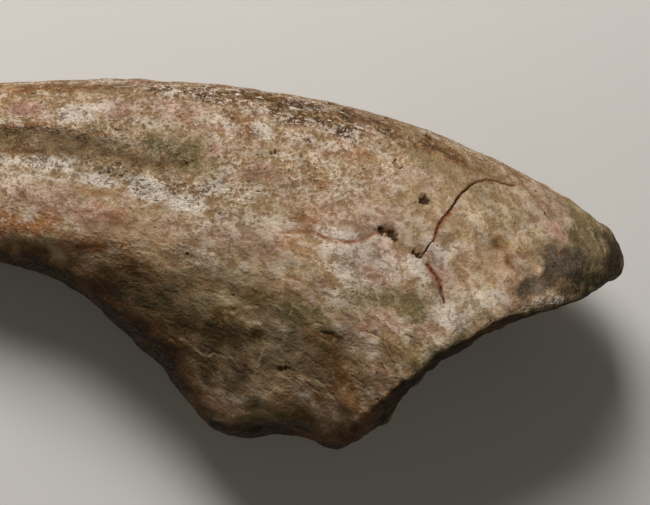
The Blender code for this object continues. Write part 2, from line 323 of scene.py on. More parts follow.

# Stains, and in places painted light and shade, by pixel, with their reach along and across in
# millimetres, the turn of the long way in degrees and the strength.
STAINS_AND_PAINTED_LIGHT = {
    # Whitish crust; along the groove's lower slope, which faces the lamp, also painted light.
    "pale": (
        (78, 112, 5.5, 2.0, 4, 1.0),
        (102, 108, 4.0, 1.4, 10, 0.8),
        (12, 163, 7.0, 1.4, 0, 0.6),
        (226, 168, 5.0, 3.0, 0, 0.6),
        (255, 148, 3.0, 3.0, 0, 0.35),
        (165, 180, 5.0, 3.0, 0, 0.35),
        (352, 276, 7.0, 3.0, -25, 0.7),
        (440, 258, 3.0, 2.4, -40, 0.8),
        (528, 232, 4.0, 3.0, -40, 0.45),
        (300, 245, 5.0, 2.4, -15, 0.3),
        (230, 96, 4.0, 1.2, -4, 0.5),
        (345, 133, 4.0, 2.4, -14, 0.6),
        (348, 214, 5.0, 3.0, -14, 0.35),
        (52, 163, 6.0, 1.6, -6, 0.9),
        (98, 181, 5.0, 1.6, -10, 0.9),
        (135, 176, 4.0, 1.8, -8, 0.6),
        (148, 187, 5.0, 2.4, -4, 0.9),
        (188, 203, 6.0, 2.0, -10, 0.8),
        (168, 197, 4.0, 1.8, 0, 0.7),
        (240, 194, 6.0, 2.2, -4, 0.6),
        (240, 245, 10.0, 3.0, -4, 0.35),
        (290, 158, 6.0, 1.8, 0, 0.45),
        (440, 303, 5.0, 2.6, -20, 0.6),
        (472, 212, 3.0, 3.0, -45, 0.4),
        (215, 186, 4.0, 2.6, 0, 0.7),
        (228, 124, 2.2, 2.6, 0, 0.6),
        (266, 112, 2.2, 1.6, 30, 0.6),
        (308, 138, 2.6, 1.4, -10, 0.7),
        (332, 146, 4.0, 1.2, -10, 0.6),
        (318, 162, 3.0, 0.9, -10, 0.8),
        (175, 92, 5.0, 0.7, -3, 0.9),
        (215, 95, 6.0, 0.7, -3, 0.9),
        (330, 112, 9.0, 1.3, -8, 0.4),
        (415, 268, 4.4, 2.3, -48, 1.0),
        (383, 264, 8.0, 4.4, -32, 0.8),
        (262, 132, 3.0, 2.6, 0, 0.8),
        (285, 137, 3.0, 2.0, -10, 0.5),
        (316, 118, 4.0, 1.0, -12, 0.5),
        (520, 267, 3.4, 2.6, -40, 0.45),
        (256, 414, 3.4, 1.2, 0, 0.5),
        (15, 184, 6.0, 3.0, 0, 0.5),
        (135, 118, 8.0, 2.4, 6, 0.5),
        (175, 225, 8.0, 3.0, -8, 0.4),
        (432, 250, 3.0, 3.0, 0, 0.5),
        (352, 247, 9.0, 4.4, -15, 0.75),
        (250, 226, 12.0, 4.0, -4, 0.6),
        (372, 236, 5.0, 3.0, -10, 0.6),
        (198, 256, 7.0, 2.4, -6, 0.6),
        (468, 300, 6.0, 3.0, -30, 0.6),
        (443, 250, 2.2, 2.4, 30, 0.7),
        (492, 300, 4.0, 2.0, 14, 0.6),
        (450, 318, 4.5, 2.6, -35, 0.9),
        (432, 338, 4.0, 2.0, -35, 0.6),
        (258, 324, 1.2, 0.9, 0, 0.6),
        (446, 258, 2.4, 1.1, 30, 0.7),
        (455, 245, 1.2, 2.0, 30, 0.6),
        (252, 402, 4.0, 1.3, -10, 0.6),
        (322, 423, 4.0, 1.6, 10, 0.45),
        (346, 428, 3.0, 1.2, -30, 0.45),
        (20, 192, 6.0, 2.0, 0, 0.4),
        (364, 339, 3.4, 1.0, -38, 0.6),
        (372, 352, 3.0, 1.0, -38, 0.5),
        (325, 318, 2.6, 0.9, -20, 0.6),
        (300, 395, 3.0, 0.8, -12, 0.5),
        (245, 405, 2.4, 0.8, 0, 0.5),
        (420, 333, 4.0, 1.0, 14, 0.4),
        (335, 298, 5.0, 2.4, -25, 0.6),
        (216, 298, 4.0, 1.6, 0, 0.6),
        (237, 397, 3.4, 1.4, 0, 0.6),
        (372, 388, 1.8, 0.7, -40, 0.6),
        (548, 304, 5.0, 1.1, 24, 1.0),
        (416, 135, 1.4, 1.0, -25, 0.8),
        (565, 297, 2.4, 1.0, 20, 0.6),
        (495, 222, 6.0, 4.0, -40, 0.35),
        (-60, 120, 9.0, 1.4, 16, 0.6),
        (-40, 165, 9.0, 1.4, 12, 0.7),
        (-150, 190, 9.0, 1.2, 24, 0.6),
    ),
    # Pinkish bone; on the lower bulge below the groove, which faces down, also painted light.
    "pink": (
        (110, 110, 9.0, 2.6, 0, 0.8),
        (175, 112, 7.0, 2.4, 0, 0.8),
        (25, 108, 6.0, 1.6, 0, 0.9),
        (380, 266, 7.5, 5.5, -30, 0.9),
        (105, 218, 9.0, 3.0, -8, 0.8),
        (180, 232, 8.0, 3.0, -10, 0.6),
        (560, 233, 6.0, 1.8, -38, 1.0),
        (255, 172, 7.0, 2.6, 0, 0.8),
        (418, 177, 6.0, 3.0, -20, 0.7),
        (250, 240, 12.0, 5.0, -8, 0.6),
        (505, 275, 4.5, 3.0, -40, 0.5),
        (330, 205, 9.0, 3.0, -5, 0.6),
        (215, 150, 3.0, 2.4, 0, 0.8),
        (440, 275, 3.0, 4.0, 0, 0.9),
        (380, 180, 7.0, 3.0, -20, 0.6),
        (320, 105, 6.0, 1.0, -10, 0.6),
        (45, 200, 9.0, 4.0, -4, 0.7),
        (240, 145, 8.0, 5.0, 0, 0.5),
        (300, 140, 6.0, 4.0, 0, 0.5),
        (350, 322, 5.0, 2.0, -30, 0.7),
        (352, 352, 4.0, 2.6, -35, 0.6),
        (282, 379, 4.0, 0.9, -6, 0.7),
        (-100, 160, 14.0, 3.0, 18, 0.7),
        (-260, 240, 9.0, 3.0, 40, 0.7),
    ),
    "iron": (
        (15, 100, 5.5, 1.6, 0, 0.5),
        (75, 247, 16.0, 2.2, 3, 0.65),
        (330, 365, 9.0, 4.0, -35, 0.6),
        (28, 125, 5.0, 0.5, 3, 1.0),
        (100, 133, 2.0, 0.5, -14, 0.8),
        (12, 226, 9.5, 2.6, 4, 1.0),
        (20, 192, 5.0, 2.0, 0, 0.3),
        (85, 236, 9.0, 1.6, -6, 0.55),
        (112, 216, 8.0, 3.0, -8, 0.6),
        (110, 192, 8.0, 1.2, -8, 0.7),
        (98, 245, 5.0, 1.1, 0, 0.9),
        (365, 158, 3.6, 1.8, -15, 0.7),
        (318, 152, 3.0, 1.0, 0, 0.9),
        (310, 170, 3.0, 0.9, 0, 0.6),
        (300, 245, 7.0, 2.6, -15, 0.6),
        (307, 218, 3.4, 1.8, 0, 0.8),
        (252, 128, 1.6, 2.4, -10, 0.9),
        (502, 243, 2.4, 2.0, 0, 0.9),
        (508, 262, 2.2, 1.4, -60, 0.5),
        (98, 191, 6.0, 1.4, -8, 0.6),
        (495, 270, 3.0, 2.4, -50, 0.35),
        (48, 218, 6.0, 2.4, -4, 0.6),
        (340, 388, 6.0, 2.6, -38, 0.7),
        (352, 402, 4.0, 2.4, -40, 0.7),
        (275, 378, 5.0, 1.0, -8, 0.5),
        (455, 225, 2.0, 2.6, 0, 0.4),
        (440, 153, 7.0, 1.4, -25, 0.7),
        (45, 88, 13.0, 1.0, 1, 0.9),
        (140, 93, 8.0, 0.7, -2, 0.6),
        (378, 128, 5.0, 1.2, -20, 0.8),
        (235, 101, 5.0, 0.7, -5, 0.8),
        (325, 185, 3.0, 1.6, 0, 0.7),
        (490, 256, 2.6, 1.4, -60, 0.4),
        (200, 400, 3.0, 2.0, 0, 0.4),
        (-120, 130, 12.0, 1.5, 20, 0.7),
        (-210, 250, 10.0, 1.4, 30, 0.8),
    ),
    "olive": (
        (170, 146, 7.0, 2.4, -10, 0.9),
        (192, 158, 5.0, 4.0, 0, 0.8),
        (108, 171, 2.6, 1.2, -10, 0.9),
        (262, 210, 4.0, 4.0, 0, 0.4),
        (275, 303, 8.0, 2.0, -10, 0.7),
        (195, 272, 8.0, 1.6, 4, 0.7),
        (155, 305, 8.0, 3.0, -30, 0.9),
        (580, 212, 7.0, 2.0, -42, 0.7),
        (502, 243, 2.4, 2.0, 0, 0.6),
        (484, 200, 5.0, 3.0, -30, 0.4),
        (405, 172, 8.0, 3.0, -25, 0.35),
        (225, 322, 5.0, 3.0, -10, 0.6),
        (520, 255, 7.0, 6.0, -40, 0.35),
        (510, 212, 11.0, 7.0, -40, 0.5),
        (470, 250, 6.0, 4.0, -50, 0.35),
        (470, 305, 8.0, 3.0, -30, 0.5),
        (223, 336, 9.0, 3.0, -6, 0.9),
        (195, 300, 10.0, 4.0, -30, 0.6),
        (240, 285, 10.0, 3.0, -8, 0.5),
        (276, 422, 9.0, 3.0, 0, 0.9),
        (428, 364, 9.0, 3.0, 42, 0.9),
        (455, 344, 7.0, 2.4, 30, 0.9),
        (598, 270, 8.0, 5.0, 0, 1.0),
        (405, 144, 9.0, 2.0, -20, 0.5),
        (435, 164, 9.0, 3.0, -28, 0.6),
        (535, 195, 12.0, 3.0, -35, 0.5),
        (565, 220, 9.0, 5.0, -40, 0.35),
        (404, 303, 6.0, 3.6, -30, 0.9),
        (373, 299, 5.0, 2.8, -30, 1.0),
        (285, 333, 5.0, 3.0, 0, 0.8),
        (245, 322, 7.0, 2.0, -8, 0.5),
        (596, 238, 9.0, 6.0, -50, 1.0),
        (590, 258, 7.0, 5.0, 0, 1.0),
        (612, 262, 5.0, 5.0, 0, 0.8),
        (345, 306, 6.0, 3.0, -30, 0.6),
        (268, 352, 6.0, 6.0, -30, 0.7),
        (318, 345, 1.8, 1.0, -10, 0.9),
        (225, 372, 6.0, 3.0, -30, 0.6),
        (300, 315, 8.0, 2.4, -12, 0.9),
        (262, 150, 6.0, 1.6, 0, 0.5),
        (430, 300, 3.0, 4.0, 0, 0.6),
        (470, 325, 6.0, 1.6, 32, 0.6),
        (520, 311, 9.0, 1.8, 22, 0.6),
        (120, 92, 7.0, 1.0, 0, 0.6),
        (290, 190, 4.0, 2.0, 0, 0.5),
        (424, 200, 2.0, 1.6, 0, 0.6),
        (454, 263, 1.9, 0.7, 10, 0.9),
        (545, 245, 3.0, 2.0, -40, 0.3),
        (-170, 170, 12.0, 3.0, 28, 0.6),
    ),
    # Brown stains; those under the groove's lip, along the back edge, at the end of the process by the
    # joint and in the lower part are partly painted shade, where those surfaces turn from the lamp.
    "umber": (
        (10, 139, 7.0, 2.0, 0, 0.7),
        (55, 140, 8.0, 2.2, 0, 0.6),
        (108, 152, 8.0, 2.2, -14, 0.6),
        (60, 87, 16.0, 0.9, 0, 0.5),
        (110, 88, 9.0, 1.0, 0, 0.6),
        (20, 150, 7.0, 0.9, 0, 0.8),
        (145, 162, 7.0, 2.2, -8, 0.7),
        (185, 162, 6.0, 3.2, 0, 0.6),
        (258, 175, 6.0, 2.0, 0, 0.5),
        (30, 251, 9.0, 1.0, 0, 0.3),
        (502, 243, 2.0, 1.8, 0, 0.75),
        (365, 158, 3.0, 1.6, -15, 0.35),
        (98, 191, 6.0, 1.2, -8, 0.4),
        (430, 158, 9.0, 2.4, -28, 0.5),
        (585, 212, 5.0, 2.0, -45, 0.4),
        (195, 136, 4.0, 1.6, 0, 0.35),
        (265, 362, 16.0, 6.0, -15, 0.45),
        (160, 276, 6.0, 1.8, -15, 0.6),
        (454, 263, 1.7, 0.5, 10, 0.9),
        (444, 241, 0.9, 1.6, -20, 0.6),
        (322, 402, 3.0, 0.9, -40, 0.7),
        (508, 262, 1.8, 1.2, -60, 0.85),
        (497, 256, 4.0, 4.0, -50, 0.4),
        (205, 365, 5.0, 3.0, -30, 0.7),
        (275, 106, 4.0, 1.4, -10, 0.6),
        (330, 119, 5.0, 1.4, -14, 0.6),
        (455, 226, 2.4, 2.4, -45, 0.4),
        (150, 233, 7.0, 2.6, -10, 0.35),
        (335, 354, 6.0, 4.0, -35, 0.7),
        (345, 380, 6.0, 3.0, -38, 0.7),
        (346, 397, 4.0, 2.4, -40, 0.55),
        (332, 335, 3.0, 1.0, -20, 0.8),
        (450, 152, 9.0, 1.6, -28, 0.8),
        (402, 129, 8.0, 1.0, -22, 0.6),
        (360, 119, 8.0, 1.2, -14, 0.7),
        (210, 266, 6.0, 1.2, -10, 0.2),
        (110, 228, 7.0, 2.0, -8, 0.4),
        (370, 378, 6.0, 3.0, -45, 0.5),
        (402, 358, 5.0, 2.0, -35, 0.6),
        (224, 334, 8.0, 3.4, -6, 0.9),
        (225, 314, 5.0, 2.6, 0, 0.8),
        (195, 318, 5.0, 3.0, -20, 0.6),
        (270, 296, 8.0, 2.2, -6, 0.7),
        (300, 317, 8.0, 2.4, -10, 0.5),
        (200, 350, 9.0, 6.0, -40, 0.6),
        (325, 340, 6.0, 2.0, -20, 0.7),
        (180, 310, 7.0, 3.0, -40, 0.6),
        (390, 405, 6.0, 2.0, 50, 0.7),
        (600, 268, 7.0, 4.0, 8, 0.5),
        (618, 250, 3.4, 7.0, 0, 0.8),
        (528, 291, 4.0, 2.2, 22, 0.55),
        (255, 98, 6.0, 0.8, -5, 0.9),
        (345, 118, 5.0, 0.8, -14, 0.8),
        (300, 113, 5.0, 0.9, -10, 0.7),
        (390, 134, 5.0, 0.7, -22, 0.7),
        (250, 242, 5.0, 1.2, -5, 0.3),
        (-90, 175, 12.0, 2.0, 18, 0.7),
        (-330, 250, 3.0, 3.0, 0, 0.8),
    ),
    # Dark stains, and painted shade: under the groove's lip, in the hollow between the knob under the
    # base and the lip, along the joint's lower rim, at the end of the process and in the shaded lower
    # part.
    "dark": (
        (220, 338, 7.0, 2.0, -5, 0.8),
        (175, 315, 7.0, 3.0, -35, 0.5),
        (195, 283, 7.0, 0.7, 6, 0.4),
        (165, 291, 5.0, 0.7, 8, 0.6),
        (333, 335, 2.4, 0.7, -16, 0.7),
        (284, 369, 1.3, 0.45, 10, 1.0),
        (278, 352, 2.2, 0.5, -20, 0.5),
        (345, 323, 2.0, 1.0, -30, 0.3),
        (276, 430, 6.0, 1.3, 0, 0.8),
        (578, 289, 4.0, 1.1, 10, 1.0),
        (352, 446, 4.0, 1.0, 25, 0.9),
        (382, 420, 5.0, 2.0, 45, 1.0),
        (590, 282, 8.0, 2.4, 8, 1.0),
        (617, 259, 2.8, 6.0, 0, 0.9),
        (130, 285, 9.0, 4.0, -30, 0.7),
        (165, 330, 9.0, 3.0, -42, 0.4),
        (222, 358, 9.0, 6.0, -30, 0.8),
        (232, 338, 6.0, 2.0, -10, 0.5),
        (285, 340, 6.0, 2.6, -15, 0.4),
        (322, 366, 6.0, 3.4, -35, 0.5),
        (325, 395, 6.0, 2.4, -30, 0.45),
        (346, 338, 4.0, 2.6, -25, 0.4),
        (368, 378, 6.0, 3.0, -45, 0.4),
        (430, 367, 8.0, 2.2, 42, 0.9),
        (402, 390, 7.0, 2.4, 52, 1.0),
        (460, 346, 6.0, 1.6, 30, 0.85),
        (568, 281, 5.0, 1.4, 12, 0.9),
        (152, 300, 9.0, 5.0, -35, 0.5),
        (195, 312, 5.0, 4.0, -30, 0.4),
        (200, 372, 4.0, 3.0, -45, 0.3),
        (188, 318, 7.0, 3.0, -32, 0.7),
        (573, 276, 3.0, 1.2, 10, 0.7),
        (525, 296, 2.4, 2.4, -30, 0.2),
        (330, 372, 4.0, 1.0, -38, 0.5),
        (268, 314, 6.0, 1.8, -8, 0.4),
        (235, 357, 9.0, 2.4, -12, 0.35),
        (282, 356, 5.0, 2.0, -20, 0.3),
        (20, 131, 8.0, 0.6, 0, 0.3),
        (75, 137, 7.0, 0.6, -8, 0.3),
        (62, 149, 3.0, 0.9, 0, 0.5),
        (118, 154, 7.0, 0.8, -16, 0.4),
        (165, 161, 5.0, 0.8, -4, 0.4),
        (385, 98, 3.0, 0.6, -20, 0.6),
        (300, 108, 4.0, 0.8, -12, 0.3),
        (180, 255, 5.0, 0.5, -4, 0.5),
    ),
    "grey": (
        (538, 285, 5.6, 2.3, 15, 1.0),
        (566, 266, 6.5, 3.8, 20, 0.9),
        (557, 254, 5.0, 2.6, -10, 0.75),
        (553, 251, 2.4, 1.6, -30, 0.9),
        (590, 264, 4.0, 3.0, 10, 0.5),
    ),
    "flaky": (
        (70, 86, 16.0, 1.0, 0, 0.5),
        (170, 90, 8.0, 1.3, -3, 0.8),
        (225, 96, 9.0, 1.8, -4, 1.0),
        (285, 107, 9.0, 3.0, -10, 1.0),
        (330, 118, 8.0, 3.0, -12, 1.0),
        (385, 130, 8.0, 1.8, -22, 0.8),
        (440, 152, 8.0, 1.0, -28, 0.5),
        (-90, 120, 12.0, 2.0, 16, 0.6),
    ),
    "spongy": (
        (165, 188, 9.0, 3.2, -5, 0.7),
        (30, 160, 8.0, 1.6, 0, 0.6),
        (235, 135, 8.0, 3.0, 0, 0.5),
        (120, 165, 10.0, 3.0, -10, 0.7),
        (30, 140, 9.0, 2.4, 0, 0.7),
        (105, 150, 9.0, 2.4, -12, 0.7),
        (170, 158, 7.0, 3.4, -4, 0.7),
        (545, 303, 7.0, 1.8, 22, 0.55),
        (-60, 125, 14.0, 2.0, 14, 0.6),
    ),
}

# How the stains' edges wander: over how many millimetres, and how far, where 1 is the way from a
# stain's middle to its edge.
STAIN_GRAIN = 3.2
STAIN_RAGGED = 0.55

# On the hidden side the same kinds of stain lie elsewhere: moved by this much, in millimetres.
HIDDEN_SIDE_MOVE = (24.0, -5.0)

# The heights and depths of the relief's parts, in millimetres.
BROAD_HEIGHT = 0.40
COARSE_LUMP_HEIGHT = 0.26
FINE_LUMP_HEIGHT = 0.13
GRAIN_HEIGHT = 0.22
STREAK_HEIGHT = 0.05
FOLD_HEIGHT = 0.5
KNOB_HEIGHT = 0.34
SPONGE_HEIGHT = 0.3
FLAKE_HEIGHT = 0.46
LIP_DEPTH = 1.3
PORE_DEPTH = 0.32

# About the middle of what ridged_noise gives, taken off so that it rises and falls about 0.
RIDGED_MIDDLE = 1.1

# The masks that the surface hands to its material, three to an attribute.
MASK_TRIPLES = (
    "pale_pink_iron",
    "olive_umber_dark",
    "grey_spongy_facet",
    "crack_red_rusty",
    "ridge_pit_hollow",
    "worn_flaky_crest",
)


def colour(name, description, default):
    """A colour that a user can change, in linear light."""
    return FloatVectorProperty(
        name=name, description=description, subtype="COLOR", size=3, min=0.0, max=1.0, default=default
    )


class FossilClawBone(bpy.types.PropertyGroup):
    """Sizes and colours of the bone."""

    relief: FloatProperty(
        name="Relief",
        description="Strength of the surface's lumps and pores",
        default=1.0,
        min=0.0,
        max=2.0,
    )
    grit: FloatProperty(
        name="Grit", description="Strength of the finest roughness", default=1.0, min=0.0, max=3.0
    )
    tan: colour("Tan", "Bare bone", (0.37, 0.26, 0.15))
    pink: colour("Pink", "Pinkish bone", (0.40, 0.246, 0.188))
    iron: colour("Iron", "Rust stains", (0.31, 0.14, 0.057))
    rust: colour("Rust", "Brown edges of cracks", (0.23, 0.088, 0.032))
    # Pale also gives painted light on the crests and on the groove's lower slope.
    pale: colour("Pale", "Whitish crust and flecks", (0.66, 0.58, 0.50))
    buff: colour("Buff", "Dull cream where the bone is soiled", (0.37, 0.29, 0.17))
    # Buff goes where the bone is stained and where shade is painted.
    olive: colour("Olive", "Greenish brown stains", (0.20, 0.155, 0.078))
    # Umber also gives painted shade in the hollows, under the claw, in the groove and on the back edge.
    umber: colour("Umber", "Brown stains in the hollows", (0.145, 0.067, 0.021))
    # Bronze also gives painted shade in the small hollows and on the joint facet.
    bronze: colour("Bronze", "Brown stains where the bone is olive", (0.100, 0.068, 0.024))
    # Dark also gives painted shade under the claw, along the joint's rim and on the facet.
    dark: colour("Dark", "Dark mineral under the claw", (0.026, 0.0125, 0.005))
    # Moss also gives painted shade under the claw where the bone is olive.
    moss: colour("Moss", "Dark mineral where the bone is olive", (0.022, 0.017, 0.007))
    grey: colour("Grey", "Grey violet stain by the joint", (0.080, 0.063, 0.046))
    crack: colour("Crack", "Inside of cracks and pits", (0.018, 0.010, 0.005))
    red: colour("Red", "Reddish edge of the finer cracks", (0.13, 0.028, 0.013))
    maroon: colour("Maroon", "Reddish dark between the flakes", (0.075, 0.027, 0.015))


class FossilClawStage(bpy.types.PropertyGroup):
    """The floor and the light."""

    floor: colour("Floor", "Plain floor", (0.73, 0.735, 0.74))
    key: FloatProperty(name="Key light", description="Main lamp", default=4.0, min=0.0, unit="POWER")
    fill: FloatProperty(
        name="Fill light", description="Soft second lamp", default=0.25, min=0.0, unit="POWER"
    )
    surround: FloatProperty(
        name="Surround", description="Light from all round", default=0.07, min=0.0, max=2.0
    )


def to_frame(point):
    """A point of the claw's plane, in millimetres, as a place in the frame."""
    return (REST_TURN @ Vector(point) + REST_MOVE) * MM


def read_keys(keys, places):
    """The values at these places of straight lines through the keys (place, value)."""
    return np.interp(places, [key[0] for key in keys], [key[1] for key in keys])


def smooth_step(values, low, high):
    """0 below low, 1 above high and smooth between."""
    share = np.clip((np.asarray(values) - low) / (high - low), 0.0, 1.0)
    return share * share * (3 - 2 * share)


def layered_noise(points, size, octaves=3, shift=0.0):
    """Smooth noise about 0 at each point, with its largest lumps this many millimetres across."""
    offset = Vector((shift, shift * 1.7, shift * 0.6))
    return np.array([noise.fractal(Vector(p) / size + offset, 1.0, 2.0, octaves) for p in points])


def ridged_noise(points, size, shift=0.0):
    """Sharp-crested noise from about 0 to 2."""
    offset = Vector((shift, shift * 1.3, shift * 0.7))
    return np.array(
        [noise.ridged_multi_fractal(Vector(p) / size + offset, 1.0, 2.1, 3, 1.0, 2.0) for p in points]
    )


def distance_to_path(points, path):
    """How far each point of the plane is from a path through other points."""
    nearest = np.full(len(points), 1e9)
    for start, end in zip(path, path[1:]):
        start, along = np.array(start), np.array(end) - np.array(start)
        share = np.clip(((points - start) @ along) / (along @ along), 0, 1)
        nearest = np.minimum(nearest, np.linalg.norm(points - start - share[:, None] * along, axis=1))
    return nearest


def distance_to_blob(points, middle, along, across, turn):
    """How far each point is from the middle of an oval, where 1 is the oval's edge."""
    angle = math.radians(turn)
    axes = np.array([[math.cos(angle), math.sin(angle)], [-math.sin(angle), math.cos(angle)]])
    return np.linalg.norm((points - middle) @ axes.T / (along, across), axis=1)


class Surface:
    """The points of a bmesh in the claw's plane, with what the relief and the stains need to know."""

    def __init__(self, bm):
        bm.normal_update()
        back = np.array(REST_TURN.transposed())
        world = np.array([vert.co for vert in bm.verts]) / MM
        self.height = world[:, 2]
        self.points = (world - np.array(REST_MOVE)) @ back.T
        self.normals = np.array([vert.normal for vert in bm.verts]) @ back.T
        self.ring, self.down = self.place_on_rings(RINGS)
        self.near = smooth_step(self.points[:, 2] - self.side_shift(), -SIDE_BLEND, SIDE_BLEND)
        self.front = self.near > 0.5

    def side_shift(self):
        """How far the middle of the claw lies to the side, from its slight sideways bend."""
        return -SIDE_BEND * (1 - self.ring / (len(RINGS) - 1)) ** 2

    def place_on_rings(self, rings):
        """Which ring each point lies on, and its share of the way down it."""
        spots = self.points[:, :2]
        rings = np.array(rings, float)
        backs, unders = rings[:, :2], rings[:, 2:]
        chords = unders - backs
        chords /= np.linalg.norm(chords, axis=1)[:, None]
        ahead = np.stack(
            [
                (spots[:, 0] - start[0]) * -along[1] + (spots[:, 1] - start[1]) * along[0]
                for start, along in zip(backs, chords)
            ],
            axis=1,
        )
        passed = np.clip((ahead >= 0).sum(axis=1) - 1, 0, len(rings) - 2)
        rows = np.arange(len(spots))
        before, after = ahead[rows, passed], ahead[rows, passed + 1]
        share = np.clip(before / np.where(before == after, 1, before - after), -0.5, 1.5)
        ring = passed + share
        back = backs[passed] + (backs[passed + 1] - backs[passed]) * share[:, None]
        under = unders[passed] + (unders[passed + 1] - unders[passed]) * share[:, None]
        chord = under - back
        down = ((spots - back) * chord).sum(axis=1) / (chord**2).sum(axis=1)
        return ring, np.clip(down, -0.2, 2.2)

    def fibre_points(self):
        """Points in millimetres along, across and through the fibres, which turn down by the joint."""
        ring, down = self.place_on_rings(FIBRE_RINGS)
        along, across = ring * FIBRE_RING_STEP, down * FIBRE_RING_HEIGHT
        across -= FIBRE_TURN * np.maximum(ring - FIBRE_TURN_START, 0.0) ** 2
        return np.stack([along, across, self.points[:, 2]], axis=1)

    def facet(self):
        """1 on the joint facet and 0 elsewhere."""
        facing = self.normals @ np.array(FACET_FACING)
        return smooth_step(facing, 0.55, 0.8) * smooth_step(self.ring, 10.6, 11.4)


class Picture:
    """Finds where the camera's view of a pixel meets the claw."""

    def __init__(self, bm):
        self.tree = BVHTree.FromBMesh(bm)
        self.eye = Vector((*PICTURE_MIDDLE, CAMERA_HEIGHT))

    def spot(self, pixel):
        """The x and y, in the claw's plane, of what shows at a pixel."""
        across = (pixel[0] - PICTURE_SIZE[0] / 2) * MM_PER_PIXEL
        up = (PICTURE_SIZE[1] / 2 - pixel[1]) * MM_PER_PIXEL
        aim = Vector((PICTURE_MIDDLE[0] + across, PICTURE_MIDDLE[1] + up, 0.0))
        start, target = to_frame(self.eye), to_frame(aim)
        hit = self.tree.ray_cast(start, target - start)[0]
        if hit is None:
            return aim.x, aim.y
        found = REST_TURN.transposed() @ (hit / MM - REST_MOVE)
        return found.x, found.y


def dense_copy(node):
    """A finer copy of a node: its doubles merged, its triangles paired and its faces divided twice."""
    bm = bmesh.new()
    bm.from_mesh(node.data)
    bmesh.ops.remove_doubles(bm, verts=bm.verts, dist=MERGE_DISTANCE)
    bmesh.ops.join_triangles(bm, faces=bm.faces, angle_face_threshold=0.7, angle_shape_threshold=0.9)
    mesh = bpy.data.meshes.new("coarse")
    bm.to_mesh(mesh)
    bm.free()
    coarse = bpy.data.objects.new("coarse", mesh)
    bpy.context.scene.collection.objects.link(coarse)
    finer = coarse.modifiers.new("finer", "SUBSURF")
    finer.levels = finer.render_levels = 2
    smoothed = coarse.evaluated_get(bpy.context.evaluated_depsgraph_get())
    dense = bmesh.new()
    dense.from_mesh(smoothed.to_mesh())
    smoothed.to_mesh_clear()
    bpy.data.objects.remove(coarse)
    bpy.data.meshes.remove(mesh)
    return dense


def wavering(points, size, amount):
    """The points, each moved a little, so that a path drawn through them wavers."""
    lifted = np.column_stack([points, np.zeros(len(points))])
    return points + amount * np.column_stack(
        [layered_noise(lifted, size, 2, 3.1), layered_noise(lifted, size, 2, 9.7)]
    )


def refine_marks(bm, lines, pits):
    """Divides the faces round the lines and pits, twice, so that they can be cut or raised cleanly."""
    for reach in REFINED_REACHES:
        surface = Surface(bm)
        spots = surface.points[:, :2]
        close = np.full(len(spots), 1e9)
        for path, _, depth, _ in lines:
            if depth != 0:
                close = np.minimum(close, distance_to_path(spots, path))
        for x, y, radius, _ in pits:
            close = np.minimum(close, np.linalg.norm(spots - (x, y), axis=1) - radius)
        marked = (close < reach) & surface.front
        bm.verts.index_update()
        edges = [edge for edge in bm.edges if all(marked[vert.index] for vert in edge.verts)]
        bmesh.ops.subdivide_edges(bm, edges=edges, cuts=1, use_grid_fill=True)


def carve_marks(surface, lines, pits, masks):
    """How deep the lines and pits cut at each point. Each kind's mask shows where it is."""
    depth = np.zeros(len(surface.points))
    for kind in ("crack", "red", "rusty", "ridge", "pit"):
        masks[kind] = np.zeros(len(depth))
    front = surface.front
    spots = surface.points[front, :2]
    moved = wavering(wavering(spots, *WIDE_WAVER), *FINE_WAVER)
    for path, half_width, cut, kind in lines:
        ends = np.minimum(
            np.linalg.norm(spots - path[0], axis=1), np.linalg.norm(spots - path[-1], axis=1)
        )
        width = half_width * (0.7 + 0.3 * smooth_step(ends, 0.0, 2.5))
        here = np.exp(-((distance_to_path(moved, path) / width) ** 2))
        depth[front] += cut * here
        shown = CREVICE_STRENGTH * here if kind == "pit" else here
        masks[kind][front] = np.maximum(masks[kind][front], shown)
    frayed = wavering(spots, *PIT_FRAY)
    for x, y, radius, cut in pits:
        away = np.linalg.norm(frayed - (x, y), axis=1) / radius
        here = 1 - smooth_step(away, 0.35, 1.4)
        depth[front] = np.maximum(depth[front], cut * here)
        masks["pit"][front] = np.maximum(masks["pit"][front], here)
    return depth


def stain_masks(surface, picture):
    """Each kind of stain's strength at each point, from the named places; some kinds also hold painted
    light and shade.
    """
    masks = {}
    flat = surface.points[:, :2]
    rough = layered_noise(surface.points, STAIN_GRAIN, 3, 5.0)
    hidden = flat + np.array(HIDDEN_SIDE_MOVE)
    for kind, stains in STAINS_AND_PAINTED_LIGHT.items():
        total = np.zeros(len(flat))
        for px, py, along, across, turn, strength in stains:
            middle = np.array(picture.spot((px, py)))
            for side, spots in ((surface.near, flat), (1 - surface.near, hidden)):
                away = distance_to_blob(spots, middle, along, across, turn) + STAIN_RAGGED * rough
                total = np.maximum(total, strength * side * (1 - smooth_step(away, 0.4, 1.3)))
        masks[kind] = total
    return masks


